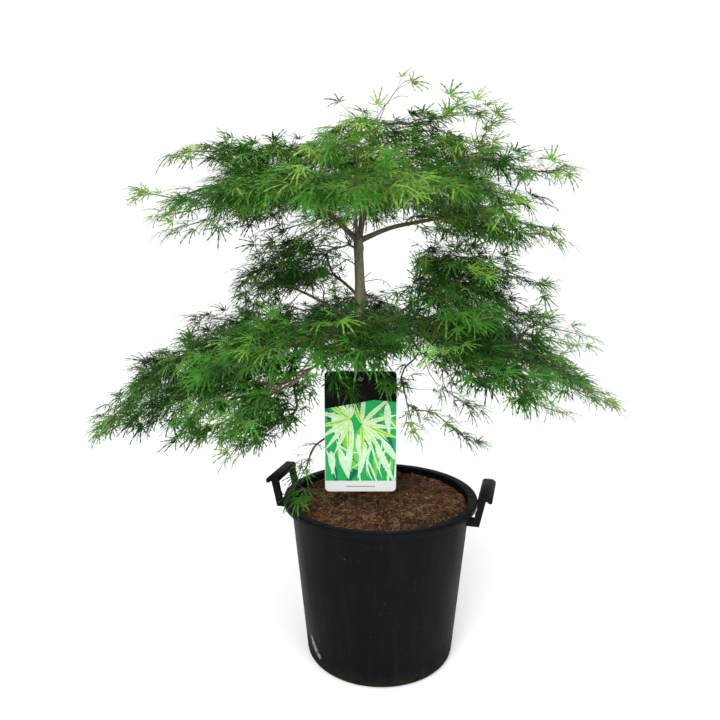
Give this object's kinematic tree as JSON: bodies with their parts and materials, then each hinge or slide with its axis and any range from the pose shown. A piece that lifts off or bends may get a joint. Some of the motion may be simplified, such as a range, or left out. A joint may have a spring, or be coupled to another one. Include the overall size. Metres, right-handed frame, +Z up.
{
  "type": "potted japanese maple",
  "caption": "Laceleaf Japanese maple with a layered, weeping crown on one short trunk, in a round nursery pot with upright carrying handles and a hanging picture label.",
  "frame": {"origin": "centre of the pot's flat underside", "axes": "+Z up, -Y towards the front where the label hangs, +X to the right seen from the front"},
  "size_m": [1.1397, 0.9798, 1.1961],
  "materials": {
    "pot_plastic": "satin",
    "potting_mix": "matte",
    "bark": "matte",
    "leaves_deep": "matte",
    "leaves_mid": "matte",
    "leaves_fresh": "matte",
    "label_card": "satin",
    "label_strap": "satin"
  },
  "bodies": {
    "root": {"bough_leader": "bark", "bough_low_back": "bark", "bough_low_front": "bark", "bough_low_left": "bark", "bough_low_right": "bark", "bough_low_spray": "bark", "bough_middle_back": "bark", "bough_middle_left": "bark", "bough_middle_right": "bark", "bough_upper_back": "bark", "bough_upper_front": "bark", "bough_upper_left": "bark", "bough_upper_right": "bark", "foliage_fork_left": "leaves_mid", "foliage_low_left": "leaves_mid", "foliage_low_right": "leaves_fresh", "foliage_low_spray": "leaves_fresh", "foliage_lower_back": "leaves_deep", "foliage_lower_front": "leaves_mid", "foliage_lower_left": "leaves_mid", "foliage_lower_left_back": "leaves_deep", "foliage_lower_left_front": "leaves_fresh", "foliage_lower_right": "leaves_mid", "foliage_lower_right_back": "leaves_deep", "foliage_lower_right_front": "leaves_mid", "foliage_middle_left": "leaves_mid", "foliage_middle_left_back": "leaves_deep", "foliage_middle_right": "leaves_mid", "foliage_middle_right_back": "leaves_deep", "foliage_middle_right_front": "leaves_deep", "foliage_right_drop": "leaves_fresh", "foliage_right_tip": "leaves_mid", "foliage_shoot": "leaves_fresh", "foliage_top": "leaves_mid", "foliage_top_left": "leaves_fresh", "foliage_top_right": "leaves_fresh", "foliage_upper_back": "leaves_mid", "foliage_upper_front": "leaves_mid", "foliage_upper_left": "leaves_mid", "foliage_upper_left_back": "leaves_mid", "foliage_upper_left_front": "leaves_mid", "foliage_upper_right": "leaves_fresh", "foliage_upper_right_back": "leaves_mid", "foliage_upper_right_front": "leaves_fresh", "handle_left": "pot_plastic", "handle_right": "pot_plastic", "label": "label_card", "label_strap": "label_strap", "pot": "pot_plastic", "soil": "potting_mix", "trunk": "bark"}
  },
  "joints": []
}
